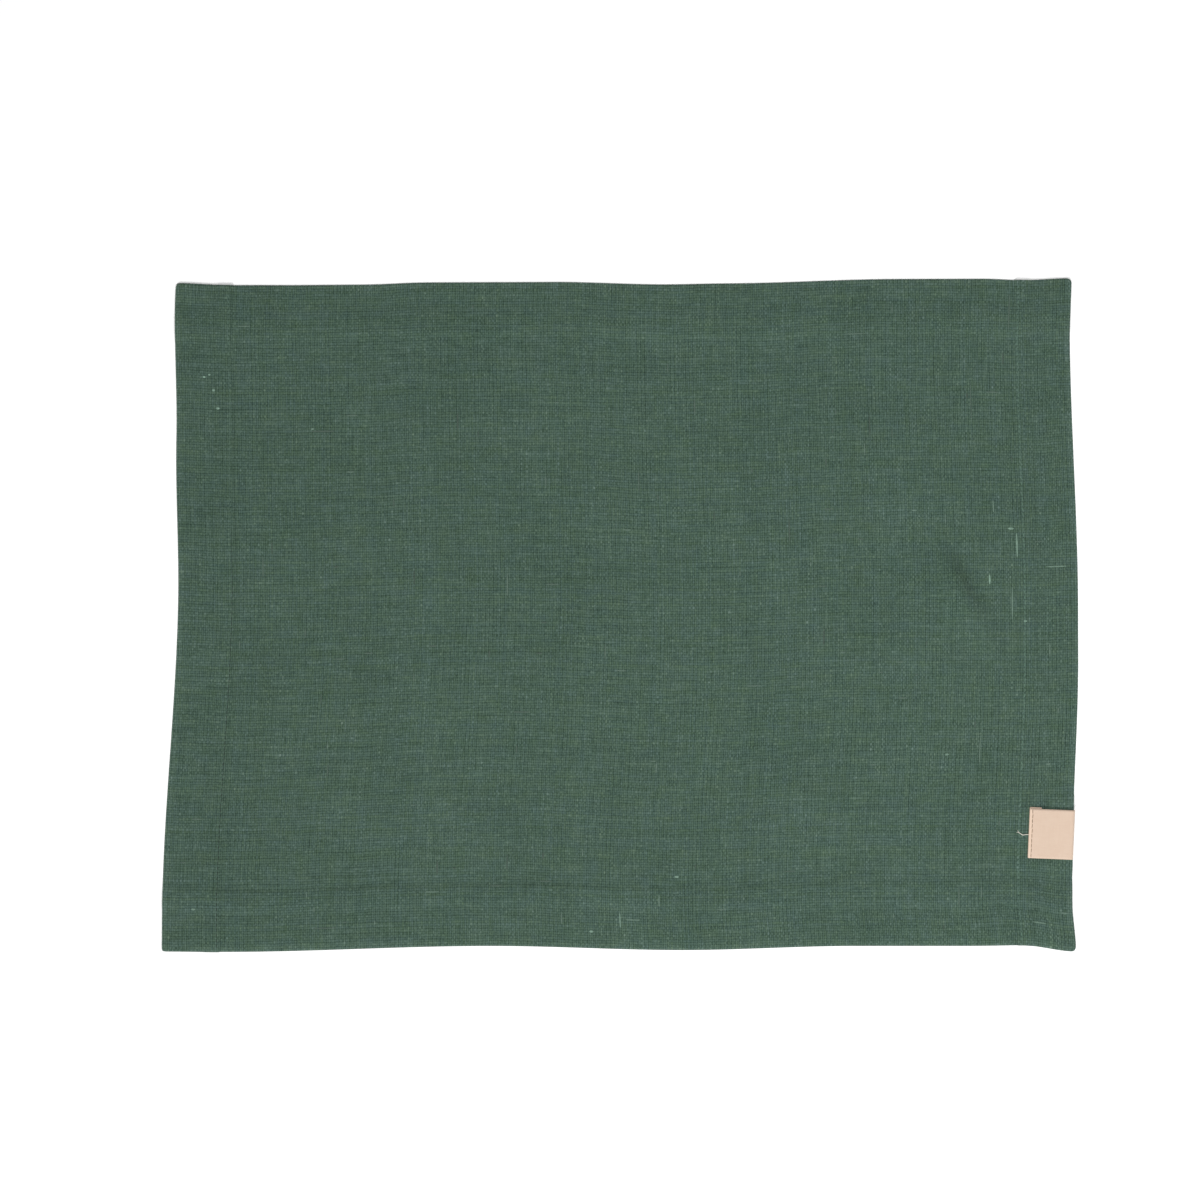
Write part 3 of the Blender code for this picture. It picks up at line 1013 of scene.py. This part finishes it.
class Graph:
    """A material and short ways to add nodes to it."""

    def __init__(self, name):
        self.material = bpy.data.materials.new(name)
        self.material.use_nodes = True
        self.tree = self.material.node_tree
        self.shader = self.tree.nodes["Principled BSDF"]

    def link(self, value, socket):
        if isinstance(value, Signal):
            self.tree.links.new(value.socket, socket)
        else:
            socket.default_value = value

    def node(self, kind, inputs, output=0, **settings):
        """Adds a node, links or sets its inputs, and gives one of its outputs."""
        node = self.tree.nodes.new("ShaderNode" + kind)
        for name, value in settings.items():
            setattr(node, name, value)
        for key, value in inputs.items():
            self.link(value, node.inputs[key])
        return Signal(self, node.outputs[output])

    def math(self, operation, *values):
        return self.node("Math", dict(enumerate(values)), operation=operation)

    def vector(self, x, y, z=0.0):
        return self.node("CombineXYZ", {"X": x, "Y": y, "Z": z})

    def attribute(self, name):
        """The three numbers that the vertices carry under a name."""
        source = self.node("Attribute", {}, "Vector", attribute_name=name)
        return [self.node("SeparateXYZ", {"Vector": source}, axis) for axis in "XYZ"]

    def noise(self, x, y, z=0.0, detail=0.0):
        """Smooth noise from about -1 to 1, with one wave or so to each unit."""
        inputs = {"Vector": self.vector(x, y, z), "Scale": 1.0, "Detail": detail}
        return (self.node("TexNoise", inputs, "Fac") - 0.5) * 2.6

    def patches(self, left, near, kind):
        noise = self.noise(left / (kind.across * MM), near / (kind.away * MM), kind.seed, kind.detail)
        return noise * kind.strength

    def chance(self, number, seed):
        """A random number from -0.5 to 0.5, the same wherever the number and the seed are."""
        inputs = {"Vector": self.vector(number, seed)}
        return self.node("TexWhiteNoise", inputs, "Value", noise_dimensions="2D") - 0.5

    def step(self, value, start, end):
        """0 where the value is below start, 1 above end, eased between them."""
        inputs = {"Value": value, "From Min": start, "From Max": end}
        return self.node("MapRange", inputs, "Result", interpolation_type="SMOOTHSTEP")

    def colour_mix(self, share, start, end):
        factor, first, second = 0, 6, 7
        return self.node("Mix", {factor: share, first: start, second: end}, 2, data_type="RGBA")

    def scaled(self, colour, factor):
        """A colour made lighter or darker."""
        return self.node("VectorMath", {0: colour, "Scale": factor}, "Vector", operation="SCALE")

    def finish(self, colour, roughness, height, depth, sheen=0.0):
        """Connects the shader. height is from 0 to 1, and depth is what it stands for, in metres."""
        normal = self.node("Bump", {"Distance": depth, "Height": height}, "Normal")
        self.link(normal, self.shader.inputs["Normal"])
        self.link(colour, self.shader.inputs["Base Color"])
        self.link(roughness, self.shader.inputs["Roughness"])
        self.shader.inputs["Specular IOR Level"].default_value = 0.3
        self.shader.inputs["Sheen Weight"].default_value = sheen
        self.shader.inputs["Sheen Roughness"].default_value = 0.5
        return self.material


# ---- The linen ----

LINEN_RED = 0.0322
LINEN_GREEN = 0.0648
LINEN_BLUE = 0.0450
# Painted sheen: the brighter the linen, the greyer it is made
LIGHT_REDDER = 1.32  # pale yarns are greyer than dark ones
LIGHT_BLUER = 1.14
WEAVE_DEPTH = 0.22 * MM

WANDER_LEFT = Patches(30.0, 18.0, 3.0, 0.0, 0.15 * MM)
WANDER_NEAR = Patches(16.0, 30.0, 9.0, 0.0, 0.32 * MM)
FACING = Patches(14.0, 11.0, 31.0, 1.0, 0.20)  # how far either set of yarns stands out
SPECK = Patches(0.55, 0.55, 2.0, 0.0, 0.24)
MOTTLE = Patches(5.5, 4.5, 17.0, 1.0, 0.09)
CLOUD = Patches(60.0, 45.0, 6.0, 1.0, 0.08)
REDDER = Patches(15.0, 12.0, 14.0, 1.0, 0.03)
BLUER = Patches(8.0, 7.0, 27.0, 1.0, 0.13)
YARN_BLUER = 0.16
FACING_DRIFT = 0.10  # the warp stands out more towards the right

PAIRING = 0.07  # how far the warp yarns move towards each other, in pairs
# Painted shade in the gaps between pairs of warp yarns
PAIR_GAP_SHADE = 0.07  # how much darker the gaps between pairs are
ASTRAY = 0.14  # how far a yarn can lie to the side of its even place
ASTRAY_LENGTH = 70.0 * MM
YARN_APART = 7.31  # so that neighbouring yarns have nothing in common
STREAK_WARP = 0.27
STREAK_WEFT = 0.28
CROSSING = 0.20
# Painted shade beside each yarn, and painted light along its middle
PAINTED_VALLEY_SHADE = 0.09
OVER = 0.42  # how far a yarn rises and sinks as it passes over and under others
BEYOND_YARN = -0.6  # its height where there is none of it
TWIST_PITCH = 0.42 * MM
TWIST_SLANT = 2.4
# Painted highlight along the folded edges: how much lighter, and over what width.
PAINTED_RIM_HIGHLIGHT = 0.20
PAINTED_RIM_HIGHLIGHT_WIDTH = 4.5 * MM

# The two sets of yarns: half a yarn's width and how much a thick place adds to it, both in
# pitches, and the seeds of its tone and of how it lies astray.
YarnSet = namedtuple("YarnSet", "half_width swelling tone_seed astray_seed")
WARP = YarnSet(0.43, 0.06, 1.0, 11.0)
WEFT = YarnSet(0.47, 0.05, 5.0, 12.0)

# What a material knows of the yarns at a point: the yarn's number, how far beside its middle the
# point lies, the yarn's tone there, and its round top, from 1 along its middle to 0 beside it.
Yarns = namedtuple("Yarns", "number beside tone round")


def yarn_tone(graph, number, along, seed):
    """How light and thick a yarn is along its length, from about -1 to 1."""
    apart = number * YARN_APART
    whole = graph.chance(number, seed) * 0.3
    slow = graph.noise(apart, along / (18.0 * MM), seed)
    quick = graph.noise(apart, along / (3.0 * MM), seed + 40.0)
    long_place = (slow - 0.3).at_least(0.0)
    thick_place = (quick - 0.3).at_least(0.0)
    return whole + slow * 0.60 + quick * 0.60 + long_place * 0.7 + thick_place * thick_place * 2.5 - 0.10


def lay_yarns(graph, place, along, kind):
    """One of the two sets of yarns. place is the distance across them, in pitches."""
    number = place.floor()
    astray = graph.noise(number * YARN_APART, along / ASTRAY_LENGTH, kind.astray_seed) * ASTRAY
    beside = place - number - 0.5 + astray
    tone = yarn_tone(graph, number, along, kind.tone_seed)
    share = abs(beside) / (kind.half_width + tone.at_least(-0.4) * kind.swelling)
    return Yarns(number, beside, tone, (1.0 - share * share).at_least(0.0).root())


def yarn_rise(graph, yarns, passing):
    """How high a yarn's top is. passing is how far the yarn rises over the one that it crosses, or
    sinks under it, below 0."""
    rise = yarns.round * 0.5 + passing
    return between(BEYOND_YARN, rise, graph.step(yarns.round, 0.0, 0.1))


def yarn_twist(along, yarns):
    """The fibres that wind round a yarn, as waves along it from -1 to 1."""
    return ((along / TWIST_PITCH + yarns.beside * TWIST_SLANT) * 2.0 * pi).sine()


def yarn_middle(graph, yarns):
    """Above 0 along a yarn's middle and below 0 beside it, for painted light on its crown and painted
    shade beside it.
    """
    return 0.42 - graph.step(abs(yarns.beside), 0.12, 0.5)


def weave(graph, left, near, warp, weft):
    """The height of the uppermost yarn, how much it is the warp's, from 0 to 1, and how far the
    warp stands out in patches."""
    facing = graph.patches(left, near, FACING) + (left / MAT_WIDTH - 0.5) * FACING_DRIFT
    warp_over = abs(warp.number + weft.number) % 2.0 * 2.0 - 1.0
    warp_rise = yarn_rise(graph, warp, warp_over * (weft.beside * pi).cosine() * OVER) + facing + 0.05
    weft_rise = yarn_rise(graph, weft, warp_over * (warp.beside * pi).cosine() * -OVER) - facing
    return warp_rise.at_least(weft_rise), graph.step(warp_rise - weft_rise, -0.08, 0.08), facing


def painted_rim_highlight(graph, left, near):
    """1 along the folded edges, which get a painted highlight, and 0 from a little way in."""
    from_side = abs(left).at_most(abs(MAT_WIDTH - left))
    from_end = abs(near).at_most(abs(MAT_DEPTH - near))
    return graph.step(from_side.at_most(from_end), PAINTED_RIM_HIGHLIGHT_WIDTH, 0.0)


def linen_colour(graph, left, near, brightness, yarn_chance):
    """The linen's green, greyer where it is bright, which paints a sheen, with faint patches and yarns
    of other hues.
    """
    redder = graph.patches(left, near, REDDER)
    bluer = graph.patches(left, near, BLUER)
    red = brightness**LIGHT_REDDER * (1.0 + redder) * LINEN_RED
    blue = brightness**LIGHT_BLUER * (1.0 + bluer + yarn_chance * YARN_BLUER) * LINEN_BLUE
    return graph.vector(red, brightness * LINEN_GREEN, blue)


def linen_material():
    """Plain weave: each yarn has its own tone and thickness along its length, passes over and
    under the yarns that it crosses, and is painted darker where it sinks and in the gaps
    between yarns, as painted shade, and lighter where it rises, as painted light."""
    graph = Graph("green linen")
    left, near, _ = graph.attribute("cloth")
    even_place = (left + graph.patches(left, near, WANDER_LEFT)) / WARP_PITCH
    warp_place = even_place + (even_place * pi).sine() * PAIRING
    weft_place = (near + graph.patches(left, near, WANDER_NEAR)) / WEFT_PITCH
    warp = lay_yarns(graph, warp_place, near, WARP)
    weft = lay_yarns(graph, weft_place, left, WEFT)
    height, warp_shows, facing = weave(graph, left, near, warp, weft)

    twist = between(yarn_twist(left, weft), yarn_twist(near, warp), warp_shows)
    tone = between(weft.tone * STREAK_WEFT - 0.02, warp.tone * STREAK_WARP + 0.02, warp_shows)
    light = 1.0 + tone + graph.noise(warp_place * 1.1, weft_place * 1.1, 3.0) * CROSSING
    for kind in (SPECK, MOTTLE, CLOUD):
        light = light + graph.patches(left, near, kind)
    # Painted shade in the gaps between pairs of warp yarns.
    shaded_pair_gap = ((even_place * pi).cosine() * -1.0).at_least(0.0)
    light = light + twist * 0.04 - shaded_pair_gap * shaded_pair_gap * shaded_pair_gap * PAIR_GAP_SHADE
    warp_faces = graph.step(facing, -FACING.strength, FACING.strength)
    # Painted shade beside the yarns and painted light along their middles.
    ribs = between(yarn_middle(graph, weft) * 0.5, yarn_middle(graph, warp), warp_faces)
    # Also a painted highlight along the folded edges.
    light = light * (1.0 + ribs * PAINTED_VALLEY_SHADE) * (1.0 + painted_rim_highlight(graph, left, near) * PAINTED_RIM_HIGHLIGHT)

    # Painted light and shade by the weave's height: the yarns lighter where they rise, darker where they
    # sink and in the gaps.
    shade = between(0.45, 1.55, graph.step(height, -0.15, 0.95))
    yarn_chance = between(graph.chance(weft.number, 7.0), graph.chance(warp.number, 8.0), warp_shows)
    colour = linen_colour(graph, left, near, (light * shade).at_least(0.1), yarn_chance)
    raised = height * 0.5 + 0.5 + twist * 0.03
    return graph.finish(colour, 0.88, raised, WEAVE_DEPTH, sheen=0.08)


# ---- Threads, tape and floor ----

# Spun yarn or thread: its pale and dark fibres, and the length of one turn of its plies.
Spun = namedtuple("Spun", "name pale dark lay")
GREEN_THREAD = Spun("green thread", (0.095, 0.165, 0.122, 1.0), (0.045, 0.085, 0.062, 1.0), 0.7 * MM)
SLUB_YARN = Spun("slub yarn", (0.20, 0.30, 0.235, 1.0), (0.10, 0.17, 0.13, 1.0), 1.4 * MM)
BROWN_THREAD = Spun("brown thread", (0.30, 0.21, 0.13, 1.0), (0.10, 0.07, 0.045, 1.0), 0.7 * MM)
PALE_THREAD = Spun("pale thread", (0.72, 0.70, 0.62, 1.0), (0.42, 0.42, 0.36, 1.0), 0.7 * MM)
SPUN_DEPTH = 0.08 * MM

TAPE = (0.565, 0.425, 0.328, 1.0)
TAPE_LIGHT = (0.611, 0.478, 0.378, 1.0)
TAPE_PITCH = 0.42 * MM
TAPE_DEPTH = 0.05 * MM
TAPE_CLOUD = Patches(5.0, 5.0, 4.0, 2.0, 0.5)
FOLD_BEYOND_TUCK = 1.1 * MM  # the middle of the turned end, along the tape from its tucked layer
# Painted highlight on the tape by its turned end, where it stands up and catches the light
PAINTED_FOLD_HIGHLIGHT = 0.13
FLOOR_COLOUR = (0.96, 0.96, 0.96, 1.0)


def yarn_material(spun):
    """Fine fibres that lie at an angle along a yarn or thread, and its plies."""
    graph = Graph(spun.name)
    along, beside, bright = graph.attribute("yarn")
    fibres = graph.noise(along / (0.9 * MM) + beside / (0.25 * MM), beside / (0.12 * MM), 9.0)
    patches = graph.noise(along / (2.0 * MM), 5.0, 3.0)
    ply = ((along / spun.lay + beside / (0.5 * MM)) * 2.0 * pi).sine()
    share = graph.step(fibres * 0.5 + patches * 0.5 + ply * 0.35, -1.0, 1.0)
    shade = graph.scaled(graph.colour_mix(share, spun.dark, spun.pale), bright)
    return graph.finish(shade, 0.8, ply * 0.3 + fibres * 0.15 + 0.5, SPUN_DEPTH, sheen=0.1)


def tape_material():
    """Fine cotton tape in a close weave, with faint uneven yarns, painted lighter on the crowns of its
    weave and with a painted highlight along its turned end.
    """
    graph = Graph("pale tape")
    along, beside, _ = graph.attribute("cloth")
    warp = beside / TAPE_PITCH
    weft = along / (TAPE_PITCH * 1.25)
    ribs = (warp * 2.0 * pi).sine() * 0.5 + 0.5
    bars = ((weft + warp.floor() * 0.5) * 2.0 * pi).sine() * 0.5 + 0.5
    yarns = graph.noise(warp.floor() * YARN_APART, along / (6.0 * MM), 2.0)
    cross = graph.noise(weft.floor() * YARN_APART, beside / (6.0 * MM), 8.0)
    cloud = graph.patches(along, beside, TAPE_CLOUD)
    share = graph.step(yarns * 0.3 + cross * 0.3 + cloud, -1.2, 1.2)
    height = ribs * 0.5 + bars * 0.5
    # Painted light and shade: lighter on the weave's crowns, and a painted highlight by the turned end.
    fold_highlight = graph.step(abs(along - TUCK_LENGTH - FOLD_BEYOND_TUCK), 1.3 * MM, 0.9 * MM)
    brightness = height * 0.10 + 0.94 + fold_highlight * PAINTED_FOLD_HIGHLIGHT
    colour = graph.scaled(graph.colour_mix(share, TAPE, TAPE_LIGHT), brightness)
    return graph.finish(colour, 0.85, height, TAPE_DEPTH, sheen=0.05)


def floor_material():
    graph = Graph("pale floor")
    graph.shader.inputs["Base Color"].default_value = FLOOR_COLOUR
    graph.shader.inputs["Roughness"].default_value = 0.9
    graph.shader.inputs["Specular IOR Level"].default_value = 0.1
    return graph.material


# ---- Floor, light and camera ----

FLOOR_HALF = 4.0
CAMERA_PLACE = Vector((-11.1 * MM, 8.4 * MM, 1.0))
VIEW_WIDTH = 0.6642  # that of the photograph's frame at the height of the cloth
CLOTH_LEVEL = 1.5 * MM
SENSOR_WIDTH = 36.0  # in millimetres, as Blender takes it

Lamp = namedtuple("Lamp", "name place size watts")
LAMPS = [
    Lamp("key light", Vector((-1.6, -4.0, 3.7)), 2.4, 240.0),
    Lamp("fill light", Vector((0.35, -0.12, 0.9)), 0.45, 4.2),
]
SKY_STRENGTH = 0.42


def build_floor():
    ring = [(-FLOOR_HALF, -FLOOR_HALF, 0), (FLOOR_HALF, -FLOOR_HALF, 0)]
    ring += [(FLOOR_HALF, FLOOR_HALF, 0), (-FLOOR_HALF, FLOOR_HALF, 0)]
    floor = new_object("floor", ring, [(0, 1, 2, 3)], floor_material(), smooth=False)


def build_lights():
    for lamp in LAMPS:
        data = bpy.data.lights.new(lamp.name, "AREA")
        data.shape = "DISK"
        data.size = lamp.size
        data.energy = lamp.watts
        light = bpy.data.objects.new(lamp.name, data)
        light.location = lamp.place
        light.rotation_euler = (-lamp.place).to_track_quat("-Z", "Y").to_euler()
        bpy.context.scene.collection.objects.link(light)
    world = bpy.data.worlds.new("pale studio")
    world.use_nodes = True
    background = world.node_tree.nodes["Background"]
    background.inputs["Color"].default_value = (1.0, 1.0, 1.0, 1.0)
    background.inputs["Strength"].default_value = SKY_STRENGTH
    bpy.context.scene.world = world
    bpy.context.scene.view_settings.view_transform = "Standard"


def build_camera():
    data = bpy.data.cameras.new("camera")
    data.sensor_width = SENSOR_WIDTH
    data.lens = data.sensor_width * (CAMERA_PLACE.z - CLOTH_LEVEL) / VIEW_WIDTH
    camera = bpy.data.objects.new("camera", data)
    camera.location = CAMERA_PLACE
    bpy.context.scene.collection.objects.link(camera)
    bpy.context.scene.camera = camera


def main():
    build_camera()
    build_lights()
    build_floor()
    cloth, flat_size, area = build_cloth(linen_material())
    sewing = build_sewing(yarn_material(GREEN_THREAD), yarn_material(SLUB_YARN))
    build_label(tape_material())
    build_label_stitches(yarn_material(BROWN_THREAD))
    build_loose_thread(yarn_material(PALE_THREAD))


main()
